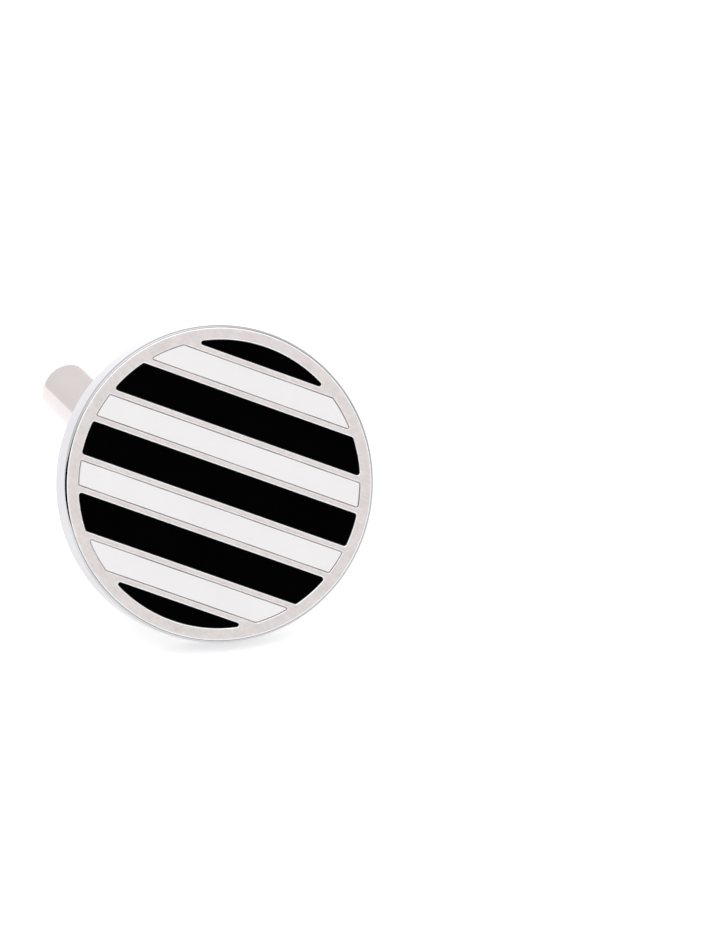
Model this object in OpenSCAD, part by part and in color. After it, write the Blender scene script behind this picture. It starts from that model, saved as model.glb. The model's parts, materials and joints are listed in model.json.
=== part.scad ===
// Round cufflink with a striped enamel face and a swivel toggle back, in millimetres.
// It lies as it does when it is put down: the face leans back on its rim, one fork corner
// and one end of the half-open toggle. +Z is up and the face looks towards -Y.

/* [Face] */
// Diameter of the face
face_d = 17; // [16.5:0.1:18]
// Thickness of the round metal body
rim_t = 2.3; // [1.8:0.1:3]
// Radius of the rounded edges of the round body
edge_r = 0.2; // [0.1:0.05:0.3]
// Width of the plain metal ring round the enamel field
ring_w = 0.78; // [0.6:0.02:0.8]

/* [Stripes] */
// Width of a black stripe
black_w = 1.86; // [1.7:0.01:1.9]
// Width of a white stripe
white_w = 1.33; // [1.25:0.01:1.4]
// Width of the metal wall between two stripes
wall_w = 0.31; // [0.2:0.01:0.4]
// Slope of the stripes against the horizontal, falling to the right
stripe_slope = 25; // [0:1:90]
// Depth of the enamel under the face
enamel_t = 0.8; // [0.4:0.1:1.2]
// Height of the metal walls over the enamel
enamel_low = 0.02; // [0:0.01:0.05]
// Gap between enamel and metal
enamel_gap = 0.02; // [0.01:0.01:0.04]
// Corner radius of the black cells
black_corner = 0.15; // [0.1:0.05:0.3]
// Corner radius of the white cells
white_corner = 0.1; // [0.06:0.02:0.2]
// Corner radius of the two black end cells
end_corner = 0.12; // [0.05:0.01:0.15]

/* [Fork] */
// Distance from the back of the round body to the toggle's pivot
post_len = 14; // [13:0.5:16]
// Clear width between the two arms
fork_gap = 3.2; // [3.2:0.1:3.6]
// Thickness of an arm and of the foot that joins the two arms
arm_t = 1.2; // [0.9:0.1:1.4]
// Half width of an arm where it is soldered to the back
arm_foot = 3.4; // [2.6:0.1:4]
// Radius of an arm's round end
arm_tip_r = 1.9; // [1.5:0.1:2.2]

/* [Toggle] */
// Length of the toggle
toggle_len = 21; // [19:0.5:22]
// Diameter of the toggle
toggle_d = 3; // [2.6:0.1:3]
// Radius of the rounded edges of the toggle's ends
toggle_edge = 0.6; // [0.3:0.1:0.6]
// Diameter of the hinge pin
pin_d = 1.1; // [0.9:0.1:1.3]
// Diameter of the pin's riveted heads
pin_head_d = 1.7; // [1.5:0.1:2]
// Height of the pin's riveted heads
pin_head_h = 0.15; // [0.1:0.05:0.3]
// Radial clearance of the pin in the arms
pin_fit = 0.01; // [0.005:0.005:0.02]
// Radial clearance of the pin in the toggle
pin_run = 0.05; // [0.02:0.01:0.08]
// Direction of the closed toggle in the plane of the face, from the horizontal
toggle_turn = 120; // [110:1:130]

/* [Hidden] */
$fn = 96;

SILVER = [0.86, 0.84, 0.83];
BLACK = [0.02, 0.02, 0.02];
WHITE = [0.94, 0.94, 0.94];
STRIPES = 5;
OVER = 1;
WELD = 0.1;
CORNER_INSET = 0.97;
CORNER_REACH = 4;
MAX_LEAN = 40;
MAX_SWING = 80;
HALVINGS = 40;

face_r = face_d / 2;
field_r = face_r - ring_w;
pitch = black_w + white_w + 2 * wall_w;
pivot_z = -(rim_t + post_len);
toggle_r = toggle_d / 2;
toggle_flat_r = toggle_r - toggle_edge;
toggle_reach = toggle_len / 2 - toggle_edge;
arm_out = fork_gap / 2 + arm_t;

// Height of the pivot over the table when the face leans back by a degrees on its rim
function pivot_height(a) =
    (face_r - edge_r) * cos(a) + (rim_t - edge_r) * sin(a) + edge_r + pivot_z * sin(a);
// Sine of the hinge axis's slope
function axis_rise(a) = sin(toggle_turn - 90) * cos(a);
// Height of the lowest point of the lower arm's round end
function arm_height(a) =
    pivot_height(a) - arm_out * axis_rise(a) - arm_tip_r * sqrt(1 - axis_rise(a) ^ 2);
// Lean at which the arm just touches the table, by halving
function find_lean(low, high, steps) =
    let (mid = (low + high) / 2)
    steps == 0 ? mid
        : arm_height(mid) > 0 ? find_lean(mid, high, steps - 1) : find_lean(low, mid, steps - 1);

lean = find_lean(0, MAX_LEAN, HALVINGS);

// Sine of the closed toggle's slope
rise_closed = sin(toggle_turn) * cos(lean);
// Sine of the toggle's slope when it is swung by b out of its closed place
function toggle_rise(b) = cos(b) * rise_closed - sin(b) * sin(lean);
// Height of the lowest point of the toggle's lower end
function toggle_height(b) =
    pivot_height(lean) - toggle_reach * toggle_rise(b)
    - toggle_flat_r * sqrt(1 - toggle_rise(b) ^ 2) - toggle_edge;
// Swing at which that end just touches the table, by halving
function find_swing(low, high, steps) =
    let (mid = (low + high) / 2)
    steps == 0 ? mid
        : toggle_height(mid) > 0 ? find_swing(low, mid, steps - 1)
        : find_swing(mid, high, steps - 1);

swing = find_swing(0, MAX_SWING, HALVINGS);

// The face's height and the shift that centres the whole piece over the origin
face_height = (rim_t - edge_r) * sin(lean) + (face_r - edge_r) * cos(lean) + edge_r;
toggle_back = cos(swing) * sin(toggle_turn) * sin(lean) + sin(swing) * cos(lean);
front_y = edge_r * cos(lean) - (face_r - edge_r) * sin(lean) - edge_r;
back_y = -pivot_z * cos(lean) + toggle_reach * toggle_back
    + toggle_flat_r * sqrt(1 - toggle_back ^ 2) + toggle_edge;
shift_y = -(front_y + back_y) / 2;

// From the face's own frame, +Z out of the face and +Y up it, to how the piece lies
module laid_down() {
    translate([0, shift_y, face_height])
    rotate([90 - lean, 0, 0])
    children();
}

// From the fork's frame, origin at the pivot and +X along the closed toggle
module at_pivot() {
    translate([0, 0, pivot_z])
    rotate(toggle_turn)
    children();
}

// The sliver between a rounded corner and its sharp point, for an edge line at height y.
// The cell lies above the line for inward = 1 and below it for inward = -1. The corner's
// circle crosses both edges at a slight angle, so that they meet it at clear points.
module corner_sliver(r, y, inward, c) {
    inset = CORNER_INSET * c;
    cy = y + inward * inset;
    cx = sqrt((r - inset) ^ 2 - cy ^ 2);
    tip_x = sqrt(r ^ 2 - y ^ 2);
    outside = (r + c) / (r - inset);
    difference() {
        polygon([
            [cx, cy],
            [cx, y - inward * c],
            [tip_x + CORNER_REACH * c, y - inward * c],
            [cx * outside, cy * outside],
        ]);
        translate([cx, cy]) circle(c);
    }
}

// Outline of a stripe's cell in a field of radius r, between the heights y0 and y1.
// A cell that reaches the top of the field has only its lower edge line.
module cell_outline(r, y0, y1, c) {
    top = y1 < r;
    difference() {
        intersection() {
            circle(r);
            translate([-r - OVER, y0]) square([2 * (r + OVER), (top ? y1 : r + OVER) - y0]);
        }
        for (m = [0, 1]) mirror([m, 0]) {
            corner_sliver(r, y0, 1, c);
            if (top) corner_sliver(r, y1, -1, c);
        }
    }
}

// A stripe's cell: i counts half pitches from the centre stripe, and shrink insets its outline
module cell(i, shrink) {
    black = i % 2 == 0;
    half = (black ? black_w : white_w) / 2 - shrink;
    mid = abs(i) * pitch / 2;
    end = mid + half > field_r - shrink;
    c = (end ? end_corner : black ? black_corner : white_corner) - shrink;
    rotate(-stripe_slope)
    mirror([0, i < 0 ? 1 : 0])
    cell_outline(field_r - shrink, mid - half, mid + half, c);
}

module recess(i) {
    translate([0, 0, -enamel_t]) linear_extrude(enamel_t + OVER) cell(i, 0);
}

module stripe(i) {
    laid_down()
    translate([0, 0, -enamel_t])
    linear_extrude(enamel_t - enamel_low)
    cell(i, enamel_gap);
}

module black_stripe(k) {
    color(BLACK) stripe(2 * k - STRIPES - 1);
}

module white_stripe(k) {
    color(WHITE) stripe(2 * k - STRIPES);
}

// A cylinder that stands on the origin, with both of its rims rounded
module rounded_cylinder(r, h, edge) {
    rotate_extrude() {
        square([r - edge, h]);
        translate([0, edge]) square([r, h - 2 * edge]);
        for (z = [edge, h - edge]) translate([r - edge, z]) circle(edge);
    }
}

// Side view of a tapered arm: x along the closed toggle, y along the post
module arm_outline() {
    foot_y = post_len + WELD;
    tangent = atan2(arm_foot, foot_y) + acos(arm_tip_r / norm([arm_foot, foot_y]));
    touch = arm_tip_r * [sin(tangent), cos(tangent)];
    circle(arm_tip_r);
    polygon([[-arm_foot, foot_y], [arm_foot, foot_y], touch, [-touch.x, touch.y]]);
}

module fork() {
    at_pivot() {
        for (side = [-arm_out, fork_gap / 2])
            translate([0, side + arm_t, 0]) rotate([90, 0, 0]) linear_extrude(arm_t) arm_outline();
        translate([-arm_tip_r, -arm_out, post_len - arm_t])
            cube([2 * arm_tip_r, 2 * arm_out, arm_t + WELD]);
    }
}

module pin_bore(r) {
    rotate([90, 0, 0]) cylinder(r = r, h = 2 * (arm_out + OVER), center = true);
}

module metal_body() {
    color(SILVER)
    laid_down()
    difference() {
        union() {
            translate([0, 0, -rim_t]) rounded_cylinder(face_r, rim_t, edge_r);
            fork();
        }
        for (i = [1 - STRIPES : STRIPES - 1]) recess(i);
        at_pivot() pin_bore(pin_d / 2 + pin_fit);
    }
}

module hinge_pin() {
    color(SILVER)
    laid_down()
    at_pivot()
    rotate([90, 0, 0]) {
        cylinder(d = pin_d, h = 2 * arm_out, center = true);
        for (m = [0, 1]) mirror([0, 0, m])
            translate([0, 0, arm_out]) cylinder(d = pin_head_d, h = pin_head_h);
    }
}

module toggle() {
    color(SILVER)
    laid_down()
    at_pivot()
    rotate([0, swing, 0])
    difference() {
        rotate([0, 90, 0])
        translate([0, 0, -toggle_len / 2])
        rounded_cylinder(toggle_r, toggle_len, toggle_edge);
        pin_bore(pin_d / 2 + pin_run);
    }
}

metal_body();
for (k = [1 : STRIPES])
    black_stripe(k);
for (k = [1 : STRIPES - 1])
    white_stripe(k);
hinge_pin();
toggle();
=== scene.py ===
import json
from math import acos, asin, atan2, cos, hypot, pi, radians, sin, sqrt, tau

import bpy
from mathutils import Matrix, Vector
from mathutils.geometry import tessellate_polygon


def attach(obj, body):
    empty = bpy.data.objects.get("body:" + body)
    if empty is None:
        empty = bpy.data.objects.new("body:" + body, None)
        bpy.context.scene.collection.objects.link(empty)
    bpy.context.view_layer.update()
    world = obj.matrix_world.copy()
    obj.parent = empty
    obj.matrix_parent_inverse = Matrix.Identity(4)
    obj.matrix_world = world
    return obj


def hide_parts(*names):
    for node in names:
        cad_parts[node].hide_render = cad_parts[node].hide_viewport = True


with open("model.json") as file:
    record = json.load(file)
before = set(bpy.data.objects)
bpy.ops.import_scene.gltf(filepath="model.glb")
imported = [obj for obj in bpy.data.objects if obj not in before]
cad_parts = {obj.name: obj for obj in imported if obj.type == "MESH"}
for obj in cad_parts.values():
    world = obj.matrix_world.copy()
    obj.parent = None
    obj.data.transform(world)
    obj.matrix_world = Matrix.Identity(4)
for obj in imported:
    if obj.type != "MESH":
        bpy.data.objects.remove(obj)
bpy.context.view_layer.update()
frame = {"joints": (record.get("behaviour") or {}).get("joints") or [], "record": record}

MM = 0.001

# Sizes of the round body, its edge and its enamel cells, as the solids have them
FACE_R = 8.5 * MM
RIM_T = 2.3 * MM
EDGE_R = 0.2 * MM
RING_W = 0.78 * MM
BLACK_W = 1.86 * MM
WHITE_W = 1.33 * MM
WALL_W = 0.31 * MM
STRIPE_SLOPE = radians(25)
ENAMEL_T = 0.8 * MM
ENAMEL_LOW = 0.02 * MM
ENAMEL_GAP = 0.02 * MM
BLACK_CORNER = 0.15 * MM
WHITE_CORNER = 0.1 * MM
END_CORNER = 0.12 * MM
STRIPES = 5

# Sizes of the fork, its pin and the toggle
POST_LEN = 14 * MM
FORK_GAP = 3.2 * MM
ARM_T = 1.2 * MM
ARM_FOOT = 3.4 * MM
ARM_TIP_R = 1.9 * MM
PIN_HEAD_R = 0.85 * MM
PIN_HEAD_H = 0.15 * MM
WELD = 0.1 * MM
TOGGLE_LEN = 21 * MM
TOGGLE_R = 1.5 * MM
TOGGLE_EDGE = 0.6 * MM

# Fine edges that only the looks have
CELL_LIP = 0.05 * MM
BLACK_EDGE = 0.025 * MM
WHITE_EDGE = 0.04 * MM
LEAST_CORNER = 0.02 * MM
ARM_EDGE = 0.18 * MM
ARM_CORNER = 0.216 * MM
FORK_FOOT_CORNER = 0.27 * MM
SOLDER_R = 0.3 * MM

# How many pieces each kind of curve is cut into
ROUND_STEPS = 192
TOGGLE_STEPS = 96
PIN_STEPS = 48
FIELD_STEPS = 40
TIP_STEPS = 40
EDGE_STEPS = 12
CORNER_STEPS = 8
LIP_STEPS = 5

# Of the face's rounded edge, the innermost steps carry a painted highlight, and a fine dark line of
# painted reflection lies under them
PAINTED_HIGHLIGHT_STEPS = 2
LINE_STEPS = 2

# Camera: where the face's centre and edge fall in the picture, and from where it is seen
PICTURE = (720, 928)
FACE_AT = (220.1, 484.0)
FACE_HALF_PX = 159.2
CAMERA_DISTANCE = 380 * MM
CAMERA_AZIMUTH = radians(-15.31)
CAMERA_ELEVATION = radians(23.43)
CAMERA_NEAR = 0.01
CAMERA_FAR = 20
SENSOR = 36


def frame_matrix(x, y, z, origin):
    """Matrix from a local frame with these axes and this origin to the world."""
    turn = Matrix((x, y, z)).transposed()
    return Matrix.Translation(origin) @ turn.to_4x4()


def mount_axis(name):
    """Direction of one of the record's mounts."""
    return Vector(next(m["axis"] for m in frame["record"]["mounts"] if m["name"] == name))


swivel = frame["joints"][0]
pivot = Vector(swivel["pos_m"])
pin_axis = Vector(swivel["axis"]).normalized()
face_normal = -mount_axis("back_face").normalized()
face_right = Vector((1, 0, 0))
face_up = face_normal.cross(face_right)
face_centre = pivot + face_normal * (RIM_T + POST_LEN)

FACE = frame_matrix(face_right, face_up, face_normal, face_centre)
closed = pin_axis.cross(face_normal)
FORK = frame_matrix(closed, pin_axis, face_normal, pivot)

# The toggle stands in line with the post at its joint's upper limit
swing = radians(90 - swivel["range_deg"][1])
along = closed * cos(swing) - face_normal * sin(swing)
TOGGLE = frame_matrix(pin_axis.cross(along), pin_axis, along, pivot)


def way(azimuth, elevation):
    """Direction from the piece, with azimuth 0 in front of it and 90 degrees at its right."""
    return Vector((sin(azimuth) * cos(elevation), -cos(azimuth) * cos(elevation), sin(elevation)))


def add_camera():
    """Adds the camera and returns the way to it, and the picture's right and up."""
    focal_px = FACE_HALF_PX / FACE_R * CAMERA_DISTANCE
    back = way(CAMERA_AZIMUTH, CAMERA_ELEVATION)
    turn = (-back).to_track_quat("-Z", "Y")
    right = turn @ Vector((1, 0, 0))
    up = turn @ Vector((0, 1, 0))
    px = CAMERA_DISTANCE / focal_px
    side = (FACE_AT[0] - PICTURE[0] / 2) * px
    rise = (PICTURE[1] / 2 - FACE_AT[1]) * px
    data = bpy.data.cameras.new("camera")
    data.sensor_width = SENSOR
    data.lens = focal_px * SENSOR / max(PICTURE)
    data.clip_start = CAMERA_NEAR
    data.clip_end = CAMERA_FAR
    camera = bpy.data.objects.new("camera", data)
    camera.rotation_mode = "QUATERNION"
    camera.rotation_quaternion = turn
    camera.location = face_centre + back * CAMERA_DISTANCE - right * side - up * rise
    bpy.context.scene.collection.objects.link(camera)
    bpy.context.scene.camera = camera
    return (camera.location - face_centre).normalized(), right, up


to_camera, picture_right, picture_up = add_camera()


class Skin:
    """A mesh in the making: points with their true surface normals, and faces between them."""

    def __init__(self):
        self.points = []
        self.normals = []
        self.faces = []
        self.slots = []
        self.slot = 0

    def ring(self, points, normals):
        """Adds points with their normals, and returns their indices."""
        first = len(self.points)
        self.points += points
        self.normals += [n.normalized() for n in normals]
        return list(range(first, len(self.points)))

    def face(self, corners):
        """Adds one face in the present material slot."""
        self.faces.append(corners)
        self.slots.append(self.slot)

    def bridge(self, low, high):
        """Quads between two closed rings that run the same way."""
        count = len(low)
        for k in range(count):
            n = (k + 1) % count
            self.face((low[k], low[n], high[n], high[k]))

    def fan(self, ring, centre, normal):
        """Closes a ring onto one point."""
        tip = self.ring([centre], [normal])[0]
        for k, corner in enumerate(ring):
            self.face((corner, ring[(k + 1) % len(ring)], tip))

    def fill(self, loops, normal):
        """Fills the first loop, less the others, with flat triangles that face along normal."""
        corners = [index for loop in loops for index in loop]
        polygons = [[self.points[index] for index in loop] for loop in loops]
        for tri in tessellate_polygon(polygons):
            a, b, c = (corners[k] for k in tri)
            side = (self.points[b] - self.points[a]).cross(self.points[c] - self.points[a])
            self.face((a, b, c) if side.dot(normal) > 0 else (a, c, b))

    def make(self, name, place, materials, body="root"):
        """Puts the skin into the scene as an object that rides on a body."""
        mesh = bpy.data.meshes.new(name)
        mesh.from_pydata([place @ p for p in self.points], [], self.faces)
        for material in materials:
            mesh.materials.append(material)
        mesh.polygons.foreach_set("use_smooth", [True] * len(self.faces))
        mesh.polygons.foreach_set("material_index", self.slots)
        turn = place.to_3x3()
        mesh.normals_split_custom_set_from_vertices([turn @ n for n in self.normals])
        mesh.update()
        piece = bpy.data.objects.new(name, mesh)
        bpy.context.scene.collection.objects.link(piece)
        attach(piece, body)
        return piece


def arc(centre, radius, start, end, steps):
    """Points and outward normals of an arc in the XY plane, both ends included."""
    angles = [start + (end - start) * k / steps for k in range(steps + 1)]
    normals = [Vector((cos(a), sin(a), 0)) for a in angles]
    return [Vector((*centre, 0)) + n * radius for n in normals], normals


def turned(outline, angle):
    """An outline turned round Z."""
    spin = Matrix.Rotation(angle, 3, "Z")
    return [spin @ p for p in outline[0]], [spin @ n for n in outline[1]]


FIELD_R = FACE_R - RING_W
PITCH = BLACK_W + WHITE_W + 2 * WALL_W


def cell_sizes(index):
    """Middle, half width and corner radius of the cell that lies index half pitches off centre."""
    black = index % 2 == 0
    half = (BLACK_W if black else WHITE_W) / 2
    middle = abs(index) * PITCH / 2
    if middle + half > FIELD_R:
        return middle, half, END_CORNER
    return middle, half, BLACK_CORNER if black else WHITE_CORNER


def cell_outline(index, inset):
    """Outline of a cell in the face's plane, inset by so much, or widened if inset is negative."""
    middle, half, corner = cell_sizes(index)
    reach = FIELD_R - inset
    low = middle - half + inset
    high = middle + half - inset
    corner = max(corner - inset, LEAST_CORNER)
    top_corner = high + corner < reach

    def corner_middle(y):
        """Middle of the corner at this height, where its circle touches the field's."""
        return sqrt((reach - corner) ** 2 - y ** 2), y

    lower = corner_middle(low + corner)
    low_turn = atan2(lower[1], lower[0])
    parts = [arc(lower, corner, -pi / 2, low_turn, CORNER_STEPS)]
    if top_corner:
        upper = corner_middle(high - corner)
        high_turn = atan2(upper[1], upper[0])
        parts.append(arc((0, 0), reach, low_turn, high_turn, FIELD_STEPS))
        parts.append(arc(upper, corner, high_turn, pi / 2, CORNER_STEPS))
    else:
        parts.append(arc((0, 0), reach, low_turn, pi / 2, FIELD_STEPS))
    points, normals = [], []
    for part_points, part_normals in parts:
        skip = 1 if points else 0
        points += part_points[skip:]
        normals += part_normals[skip:]
    left = len(points) - (0 if top_corner else 1)
    points += [Vector((-p.x, p.y, 0)) for p in reversed(points[:left])]
    normals += [Vector((-n.x, n.y, 0)) for n in reversed(normals[:left])]
    if index < 0:
        points = [Vector((p.x, -p.y, 0)) for p in reversed(points)]
        normals = [Vector((n.x, -n.y, 0)) for n in reversed(normals)]
    return turned((points, normals), -STRIPE_SLOPE)


def lifted(points, z):
    """The same points at height z."""
    return [Vector((p.x, p.y, z)) for p in points]


def leaning(normals, rise):
    """Outward normals tipped up by the angle rise."""
    return [Vector((n.x * cos(rise), n.y * cos(rise), sin(rise))) for n in normals]


UP = Vector((0, 0, 1))


def circle(radius, steps):
    """A closed circle round the origin, without its first point again."""
    return arc((0, 0), radius, 0, tau * (steps - 1) / steps, steps - 1)


def lathe(skin, profile, steps=ROUND_STEPS):
    """Rings of a turned form, whose profile holds (radius, height, rise of the normal) upwards."""
    rings = []
    for radius, z, rise in profile:
        points, normals = circle(radius, steps)
        rings.append(skin.ring(lifted(points, z), leaning(normals, rise)))
    for low, high in zip(rings, rings[1:]):
        skin.bridge(low, high)
    return rings


def quarter(centre_r, centre_z, radius, start, end, steps):
    """Profile of a rounded edge, as lathe() takes it."""
    angles = [start + (end - start) * k / steps for k in range(steps + 1)]
    return [(centre_r + radius * cos(a), centre_z + radius * sin(a), a) for a in angles]


# Each cell's distance from the face's middle, in half pitches: even ones are black, odd ones white
CELLS = range(1 - STRIPES, STRIPES)
# Material slots of the round body and of a stripe of enamel
SATIN, POLISHED, BRIGHT, WALL, LINE = range(5)
TOP, SIDE = range(2)


def round_body(materials):
    """The round tray: a satin face with its cells, and a polished edge, wall and back; the edge
    carries a painted highlight and a painted dark line, the black cells' lips a painted highlight,
    and the wall is painted darker as painted shade.
    """
    skin = Skin()
    flat_r = FACE_R - EDGE_R
    low_edge = quarter(flat_r, EDGE_R - RIM_T, EDGE_R, -pi / 2, 0, EDGE_STEPS)
    high_edge = quarter(flat_r, -EDGE_R, EDGE_R, 0, pi / 2, EDGE_STEPS)
    skin.slot = POLISHED
    bottom = lathe(skin, low_edge)[0]
    skin.fill([bottom], -UP)
    line_end = EDGE_STEPS - PAINTED_HIGHLIGHT_STEPS
    line_start = line_end - LINE_STEPS
    lathe(skin, high_edge[:line_start + 1])
    # Painted shade: the wall takes the plating painted darker
    skin.slot = WALL
    lathe(skin, [low_edge[-1], high_edge[0]])
    # Painted reflection: a fine dark line painted into the edge's plating
    skin.slot = LINE
    lathe(skin, high_edge[line_start:line_end + 1])
    # Painted highlight: the edge's innermost steps take the plating painted near white
    skin.slot = BRIGHT
    top = lathe(skin, high_edge[line_end:])[-1]
    mouths = []
    for index in CELLS:
        # Painted highlight on the black cells' lips: the plating painted near white
        skin.slot = BRIGHT if index % 2 == 0 else SATIN
        lip = []
        for k in range(LIP_STEPS + 1):
            a = pi / 2 * (1 - k / LIP_STEPS)
            points, normals = cell_outline(index, -CELL_LIP * (1 - cos(a)))
            z = CELL_LIP * (sin(a) - 1)
            lip.append(skin.ring(lifted(points, z), leaning([-n for n in normals], a)))
        points, normals = cell_outline(index, 0)
        lip.append(skin.ring(lifted(points, -ENAMEL_T), [-n for n in normals]))
        for outer, inner in zip(lip, lip[1:]):
            skin.bridge(outer, inner)
        bed = skin.ring(lifted(points, -ENAMEL_T), [UP] * len(points))
        skin.fill([bed], UP)
        mouths.append(lip[0])
    skin.slot = SATIN
    skin.fill([top] + mouths, UP)
    return skin.make("round_body", FACE, materials)


def enamel(index, name, node, edge, materials):
    """One stripe of enamel, whose side and softly rounded edge take the second material."""
    skin = Skin()
    skin.slot = SIDE
    top = -ENAMEL_LOW
    points, normals = cell_outline(index, ENAMEL_GAP)
    rings = [skin.ring(lifted(points, -ENAMEL_T), normals)]
    for k in range(LIP_STEPS + 1):
        a = pi / 2 * k / LIP_STEPS
        points, normals = cell_outline(index, ENAMEL_GAP + edge * (1 - cos(a)))
        rings.append(skin.ring(lifted(points, top + edge * (sin(a) - 1)), leaning(normals, a)))
    for low, high in zip(rings, rings[1:]):
        skin.bridge(low, high)
    points, normals = cell_outline(index, ENAMEL_GAP)
    bottom = skin.ring(lifted(points, -ENAMEL_T), [-UP] * len(points))
    skin.fill([bottom], -UP)
    skin.slot = TOP
    skin.fill([rings[-1]], UP)
    piece = skin.make(name, FACE, materials)
    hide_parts(node)
    return piece


def slab(skin, outline, low, high, edge):
    """A plate with rounded edges, from an outline with tangent-smooth normals."""
    base, sideways = outline
    rings = []
    for start, z in ((-pi / 2, low + edge), (0, high - edge)):
        for k in range(LIP_STEPS + 1):
            a = start + pi / 2 * k / LIP_STEPS
            inset = edge * (1 - cos(a))
            points = [p - n * inset for p, n in zip(base, sideways)]
            rings.append(skin.ring(lifted(points, z + edge * sin(a)), leaning(sideways, a)))
    for one, two in zip(rings, rings[1:]):
        skin.bridge(one, two)
    skin.fill([rings[0]], -UP)
    skin.fill([rings[-1]], UP)


def joined(*parts):
    """One outline from several arcs, in order."""
    return [p for part in parts for p in part[0]], [n for part in parts for n in part[1]]


def arm_outline():
    """Side of a tapered arm: x along the closed toggle, y from the pivot to the round body."""
    foot_y = POST_LEN + WELD
    tangent = atan2(ARM_FOOT, foot_y) + acos(ARM_TIP_R / hypot(ARM_FOOT, foot_y))
    lean = pi / 2 - tangent
    corner_y = foot_y - ARM_CORNER
    corner_x = ARM_FOOT - ARM_CORNER * (1 + sin(lean)) / cos(lean)
    tip = arc((0, 0), ARM_TIP_R, -pi - lean, lean, TIP_STEPS)
    right = arc((corner_x, corner_y), ARM_CORNER, lean, pi / 2, CORNER_STEPS)
    left = arc((-corner_x, corner_y), ARM_CORNER, pi / 2, pi - lean, CORNER_STEPS)
    return joined(tip, right, left)


def rounded_box(half_x, half_y, corner):
    """Outline of a rectangle with round corners."""
    quarters = []
    for k, (x, y) in enumerate(((1, 1), (-1, 1), (-1, -1), (1, -1))):
        middle = (x * (half_x - corner), y * (half_y - corner))
        quarters.append(arc(middle, corner, k * pi / 2, (k + 1) * pi / 2, CORNER_STEPS))
    return joined(*quarters)


ARM_OUT = FORK_GAP / 2 + ARM_T


def fork(materials):
    """Two tapered arms on a foot, soldered to the back."""
    skin = Skin()
    stand = Matrix.Rotation(pi / 2, 3, "X")
    for low in (-ARM_OUT, FORK_GAP / 2):
        arm = Skin()
        slab(arm, arm_outline(), -low - ARM_T, -low, ARM_EDGE)
        first = len(skin.points)
        skin.ring([stand @ p for p in arm.points], [stand @ n for n in arm.normals])
        for corners in arm.faces:
            skin.face(tuple(first + k for k in corners))
    foot = rounded_box(ARM_TIP_R, ARM_OUT - ARM_EDGE, FORK_FOOT_CORNER)
    slab(skin, foot, POST_LEN - ARM_T, POST_LEN + WELD, ARM_EDGE / 2)
    for side in (-1, 1):
        solder(skin, side * (FORK_GAP + ARM_T) / 2)
    return skin.make("fork", FORK, materials)


def solder(skin, y):
    """The small concave fillet of solder round an arm where it meets the back."""
    base, sideways = rounded_box(ARM_FOOT - SOLDER_R / 2, ARM_T / 2, ARM_EDGE)
    rings = []
    for k in range(EDGE_STEPS + 1):
        a = pi / 2 * k / EDGE_STEPS
        out = SOLDER_R * (1 - cos(a))
        points = [p + n * out + Vector((0, y, 0)) for p, n in zip(base, sideways)]
        z = POST_LEN - SOLDER_R * (1 - sin(a))
        rings.append(skin.ring(lifted(points, z), leaning(sideways, -a)))
    for one, two in zip(rings, rings[1:]):
        skin.bridge(one, two)


def rivet(material):
    """The hinge pin with its two domed heads."""
    skin = Skin()
    dome_r = (PIN_HEAD_R ** 2 + PIN_HEAD_H ** 2) / (2 * PIN_HEAD_H)
    slope = asin(PIN_HEAD_R / dome_r)
    stand = Matrix.Rotation(pi / 2, 4, "X")
    side = [(PIN_HEAD_R, -ARM_OUT, 0), (PIN_HEAD_R, ARM_OUT, 0)]
    middle = ARM_OUT + PIN_HEAD_H - dome_r
    dome = [slope * (1 - k / EDGE_STEPS) for k in range(EDGE_STEPS)]
    top = [(dome_r * sin(a), middle + dome_r * cos(a), pi / 2 - a) for a in dome]
    bottom = [(r, -z, -rise) for r, z, rise in reversed(top)]
    rings = lathe(skin, bottom, PIN_STEPS)
    skin.fan(list(reversed(rings[0])), -UP * (ARM_OUT + PIN_HEAD_H), -UP)
    lathe(skin, side, PIN_STEPS)
    rings = lathe(skin, top, PIN_STEPS)
    skin.fan(rings[-1], UP * (ARM_OUT + PIN_HEAD_H), UP)
    piece = skin.make("rivet", FORK @ stand, [material])
    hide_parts("hinge_pin")
    return piece


def toggle_bar(material):
    """The toggle: a turned bar whose ends have rounded edges."""
    skin = Skin()
    half = TOGGLE_LEN / 2
    flat_r = TOGGLE_R - TOGGLE_EDGE
    profile = quarter(flat_r, TOGGLE_EDGE - half, TOGGLE_EDGE, -pi / 2, 0, EDGE_STEPS)
    profile += quarter(flat_r, half - TOGGLE_EDGE, TOGGLE_EDGE, 0, pi / 2, EDGE_STEPS)
    rings = lathe(skin, profile, TOGGLE_STEPS)
    skin.fill([rings[0]], -UP)
    skin.fill([rings[-1]], UP)
    piece = skin.make("toggle_bar", TOGGLE, [material], "toggle")
    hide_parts("toggle")
    return piece


def new_material(name, **sockets):
    """A material with one Principled shader whose even values are set on its own sockets."""
    material = bpy.data.materials.new(name)
    material.use_nodes = True
    shader = material.node_tree.nodes["Principled BSDF"]
    for socket, value in sockets.items():
        shader.inputs[socket.replace("_", " ")].default_value = value
    return material, material.node_tree.nodes, material.node_tree.links, shader


# The part of a noise's range that is stretched over the wanted range
NOISE_LOW = 0.3
NOISE_HIGH = 0.7
# Direction of the satin face's fine hatch, and how far its noise is drawn out
HATCH_TURN = radians(50)
HATCH_STRETCH = 7


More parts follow.
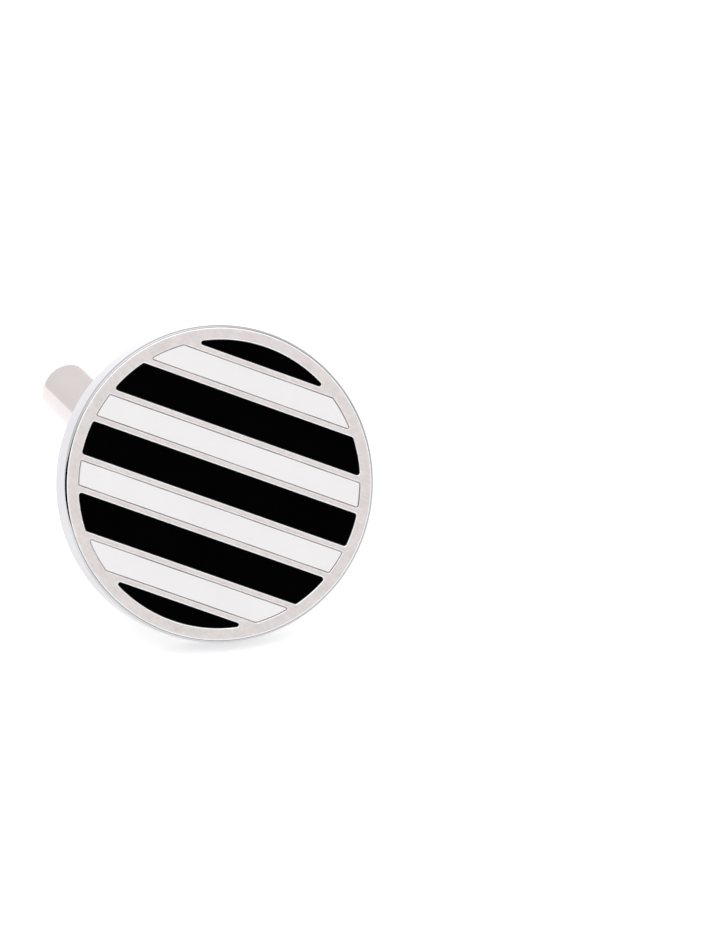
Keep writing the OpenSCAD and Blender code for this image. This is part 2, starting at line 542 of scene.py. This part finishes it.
def grain(nodes, links, scale, detail=4.0, hatched=False):
    """Noise over the object's own coordinates, in cells per metre, as a hatch if asked."""
    place = nodes.new("ShaderNodeTexCoord")
    noise = nodes.new("ShaderNodeTexNoise")
    noise.inputs["Scale"].default_value = scale
    noise.inputs["Detail"].default_value = detail
    if hatched:
        mapping = nodes.new("ShaderNodeMapping")
        mapping.vector_type = "TEXTURE"
        mapping.inputs["Rotation"].default_value = (0, HATCH_TURN, 0)
        mapping.inputs["Scale"].default_value = (HATCH_STRETCH, 1, 1)
        links.new(place.outputs["Object"], mapping.inputs["Vector"])
        links.new(mapping.outputs["Vector"], noise.inputs["Vector"])
    else:
        links.new(place.outputs["Object"], noise.inputs["Vector"])
    return noise.outputs["Fac"]


def spread(nodes, links, value, low, high):
    """Noise stretched over the range from low to high."""
    ranger = nodes.new("ShaderNodeMapRange")
    ranger.inputs["From Min"].default_value = NOISE_LOW
    ranger.inputs["From Max"].default_value = NOISE_HIGH
    ranger.inputs["To Min"].default_value = low
    ranger.inputs["To Max"].default_value = high
    links.new(value, ranger.inputs["Value"])
    return ranger.outputs["Result"]


def tint(nodes, links, value, one, two):
    """A colour that wanders between two with the noise."""
    mix = nodes.new("ShaderNodeMix")
    mix.data_type = "RGBA"
    mix.inputs["A"].default_value = (*one, 1)
    mix.inputs["B"].default_value = (*two, 1)
    links.new(spread(nodes, links, value, 0, 1), mix.inputs["Factor"])
    return mix.outputs["Result"]


def grained(nodes, links, colour, value, low):
    """A colour darkened down to this factor by the noise."""
    mix = nodes.new("ShaderNodeMix")
    mix.data_type = "RGBA"
    mix.blend_type = "MULTIPLY"
    mix.inputs["Factor"].default_value = 1
    links.new(colour, mix.inputs["A"])
    links.new(spread(nodes, links, value, low, 1), mix.inputs["B"])
    return mix.outputs["Result"]


def bumped(nodes, links, shader, value, depth):
    """Fine relief of this depth from the noise."""
    bump = nodes.new("ShaderNodeBump")
    bump.inputs["Strength"].default_value = 1
    bump.inputs["Distance"].default_value = depth
    links.new(value, bump.inputs["Height"])
    links.new(bump.outputs["Normal"], shader.inputs["Normal"])


def satin_metal():
    """Bright plating with the mottled grain and the fine diagonal hatch of a satin finish."""
    material, nodes, links, shader = new_material("satin_metal", Metallic=1.0)
    patches = grain(nodes, links, scale=1800)
    mottle = grain(nodes, links, scale=5000)
    hatch = grain(nodes, links, scale=9000, detail=2, hatched=True)
    polish = grain(nodes, links, scale=2500)
    relief = grain(nodes, links, scale=9000, detail=6)
    colour = tint(nodes, links, patches, one=(0.925, 0.885, 0.865), two=(0.945, 0.87, 0.86))
    colour = grained(nodes, links, colour, mottle, low=0.955)
    colour = grained(nodes, links, colour, hatch, low=0.93)
    links.new(colour, shader.inputs["Base Color"])
    links.new(spread(nodes, links, polish, low=0.39, high=0.43), shader.inputs["Roughness"])
    bumped(nodes, links, shader, relief, depth=0.003 * MM)
    return material


def polished_metal(name, one, two):
    """The same plating polished, with faint smears and fine lines, in the colours given; for the
    wall and the edge's fine line these are painted darker, as painted shade and painted reflection.
    """
    material, nodes, links, shader = new_material(name, Metallic=1.0)
    smears = grain(nodes, links, scale=300)
    polish = grain(nodes, links, scale=500)
    relief = grain(nodes, links, scale=4000, detail=6)
    links.new(tint(nodes, links, smears, one, two), shader.inputs["Base Color"])
    links.new(spread(nodes, links, polish, low=0.03, high=0.06), shader.inputs["Roughness"])
    bumped(nodes, links, shader, relief, depth=0.0006 * MM)
    return material


def painted_highlight_metal():
    """Painted highlight: the plating painted near white on the lips round the black cells and on
    the innermost steps of the face's edge.
    """
    material, nodes, links, shader = new_material("painted_highlight_metal", Metallic=1.0)
    smears = grain(nodes, links, scale=900)
    polish = grain(nodes, links, scale=2500)
    colour = tint(nodes, links, smears, one=(0.98, 0.97, 0.97), two=(0.99, 0.99, 0.99))
    links.new(colour, shader.inputs["Base Color"])
    links.new(spread(nodes, links, polish, low=0.45, high=0.5), shader.inputs["Roughness"])
    return material


def toggle_metal():
    """Plating with a soft polish and a faint warm tone."""
    material, nodes, links, shader = new_material("toggle_metal", Metallic=1.0)
    smears = grain(nodes, links, scale=300)
    polish = grain(nodes, links, scale=500)
    relief = grain(nodes, links, scale=4000, detail=6)
    colour = tint(nodes, links, smears, one=(0.67, 0.62, 0.615), two=(0.70, 0.645, 0.635))
    links.new(colour, shader.inputs["Base Color"])
    links.new(spread(nodes, links, polish, low=0.16, high=0.24), shader.inputs["Roughness"])
    bumped(nodes, links, shader, relief, depth=0.001 * MM)
    return material


def black_enamel():
    """Deep black enamel, ground flat and polished."""
    material, nodes, links, shader = new_material("black_enamel", Specular_IOR_Level=0.2)
    depth = grain(nodes, links, scale=400)
    polish = grain(nodes, links, scale=700)
    waves = grain(nodes, links, scale=350, detail=2)
    colour = tint(nodes, links, depth, one=(0.0004, 0.0004, 0.0004), two=(0.0007, 0.0007, 0.0007))
    links.new(colour, shader.inputs["Base Color"])
    links.new(spread(nodes, links, polish, low=0.04, high=0.07), shader.inputs["Roughness"])
    bumped(nodes, links, shader, waves, depth=0.001 * MM)
    return material


def white_enamel():
    """Opaque white enamel with a soft gloss."""
    material, nodes, links, shader = new_material("white_enamel")
    clouds = grain(nodes, links, scale=400)
    polish = grain(nodes, links, scale=700)
    waves = grain(nodes, links, scale=350, detail=2)
    colour = tint(nodes, links, clouds, one=(0.75, 0.736, 0.738), two=(0.768, 0.75, 0.752))
    links.new(colour, shader.inputs["Base Color"])
    links.new(spread(nodes, links, polish, low=0.12, high=0.20), shader.inputs["Roughness"])
    bumped(nodes, links, shader, waves, depth=0.001 * MM)
    return material


def enamel_rim_painted_shade():
    """Painted shade: the white enamel's side and rounded edge painted grey, as a thin grey line
    where it meets the metal.
    """
    material, nodes, links, shader = new_material("enamel_rim_painted_shade")
    shade = grain(nodes, links, scale=450)
    polish = grain(nodes, links, scale=700)
    colour = tint(nodes, links, shade, one=(0.30, 0.295, 0.30), two=(0.60, 0.595, 0.60))
    links.new(colour, shader.inputs["Base Color"])
    links.new(spread(nodes, links, polish, low=0.3, high=0.4), shader.inputs["Roughness"])
    return material


polished = polished_metal("polished_metal", one=(0.52, 0.515, 0.53), two=(0.56, 0.555, 0.565))
# Painted shade: the wall's plating painted darker than the polished metal
wall = polished_metal("wall_metal_painted_darker", one=(0.39, 0.385, 0.41), two=(0.42, 0.415, 0.435))
# Painted reflection: the edge's fine dark line is the plating painted dark grey
line = polished_metal("painted_dark_line_metal", one=(0.20, 0.195, 0.20), two=(0.32, 0.315, 0.32))
softened = toggle_metal()
black = black_enamel()
white = white_enamel()
# Painted shade: grey at the white enamel's edge where it meets the metal
grey = enamel_rim_painted_shade()

body = round_body([satin_metal(), polished, painted_highlight_metal(), wall, line])
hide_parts("metal_body")
fork([polished])
rivet(softened)
toggle_bar(softened)
for k in range(1, STRIPES + 1):
    stripe = enamel(
        2 * k - STRIPES - 1, f"enamel_black_{k}", f"black_stripe_{k}", BLACK_EDGE, [black, black])
for k in range(1, STRIPES):
    stripe = enamel(
        2 * k - STRIPES, f"enamel_white_{k}", f"white_stripe_{k}", WHITE_EDGE, [white, grey])


FLOOR_HALF = 3
FLOOR_GLOW = 0.6


def floor():
    """A plain white sheet, lit a little from below."""
    material, nodes, links, shader = new_material(
        "paper", Roughness=0.9, Specular_IOR_Level=0.2,
        Emission_Color=(1, 1, 1, 1), Emission_Strength=FLOOR_GLOW)
    pulp = grain(nodes, links, scale=30)
    colour = tint(nodes, links, pulp, one=(0.62, 0.62, 0.63), two=(0.64, 0.64, 0.645))
    links.new(colour, shader.inputs["Base Color"])
    corners = [(x * FLOOR_HALF, y * FLOOR_HALF, 0) for x, y in ((-1, -1), (1, -1), (1, 1), (-1, 1))]
    mesh = bpy.data.meshes.new("floor")
    mesh.from_pydata(corners, [], [(0, 1, 2, 3)])
    mesh.materials.append(material)
    sheet = bpy.data.objects.new("floor", mesh)
    bpy.context.scene.collection.objects.link(sheet)


# The room's brightness at the horizon and overhead
HORIZON_BRIGHT = 0.97
ZENITH_BRIGHT = 1.05
# A soft box above the camera: its brightness, its direction, and where its fade starts and ends
SOFT_BOX = 2.0
SOFT_BOX_WAY = way(radians(-10), radians(62))
SOFT_BOX_FADE = (radians(18), radians(42))
# A dark card for the face to mirror, and a strip of such cards for its edge
CARD_DARK = 0.012
CARD_FADE = (radians(10), radians(16))
STRIP_AWAY = (radians(17), radians(28), radians(39), radians(50), radians(61))
STRIP_TURN = radians(188)
STRIP_FADE = (radians(12), radians(14))


def patch(nodes, links, facing, fade, level):
    """Factor of the room's brightness: level round this direction, fading out to one."""
    inner, outer = fade
    place = nodes.new("ShaderNodeTexCoord")
    aligned = nodes.new("ShaderNodeVectorMath")
    aligned.operation = "DOT_PRODUCT"
    aligned.inputs[1].default_value = facing
    ranger = nodes.new("ShaderNodeMapRange")
    ranger.interpolation_type = "SMOOTHSTEP"
    ranger.inputs["From Min"].default_value = cos(outer)
    ranger.inputs["From Max"].default_value = cos(inner)
    ranger.inputs["To Min"].default_value = 1
    ranger.inputs["To Max"].default_value = level
    links.new(place.outputs["Generated"], aligned.inputs[0])
    links.new(aligned.outputs["Value"], ranger.inputs["Value"])
    return ranger.outputs["Result"]


def overhead(nodes, links):
    """The room's own brightness, which rises from the horizon to the zenith."""
    place = nodes.new("ShaderNodeTexCoord")
    parts = nodes.new("ShaderNodeSeparateXYZ")
    height = nodes.new("ShaderNodeMapRange")
    height.inputs["To Min"].default_value = HORIZON_BRIGHT
    height.inputs["To Max"].default_value = ZENITH_BRIGHT
    links.new(place.outputs["Generated"], parts.inputs["Vector"])
    links.new(parts.outputs["Z"], height.inputs["Value"])
    return height.outputs["Result"]


def beside_camera(away, turn):
    """Direction this far from the way to the camera, on this side of it in the picture."""
    aside = picture_right * cos(turn) + picture_up * sin(turn)
    aside = (aside - to_camera * aside.dot(to_camera)).normalized()
    return to_camera * cos(away) + aside * sin(away)


def room():
    """A white room with a soft box, and dark cards for the face and its edge to mirror."""
    world = bpy.data.worlds.new("room")
    bpy.context.scene.world = world
    world.use_nodes = True
    nodes, links = world.node_tree.nodes, world.node_tree.links
    mirrored = face_normal * (2 * face_normal.dot(to_camera)) - to_camera
    patches = [(mirrored, CARD_FADE, CARD_DARK), (SOFT_BOX_WAY, SOFT_BOX_FADE, SOFT_BOX)]
    for away in STRIP_AWAY:
        patches.append((beside_camera(away, STRIP_TURN), STRIP_FADE, CARD_DARK))
    strength = overhead(nodes, links)
    for facing, fade, level in patches:
        product = nodes.new("ShaderNodeMath")
        product.operation = "MULTIPLY"
        links.new(strength, product.inputs[0])
        links.new(patch(nodes, links, facing, fade, level), product.inputs[1])
        strength = product.outputs["Value"]
    nodes["Background"].inputs["Color"].default_value = (1, 1, 1, 1)
    links.new(strength, nodes["Background"].inputs["Strength"])


floor()
room()
bpy.context.scene.view_settings.view_transform = "Standard"
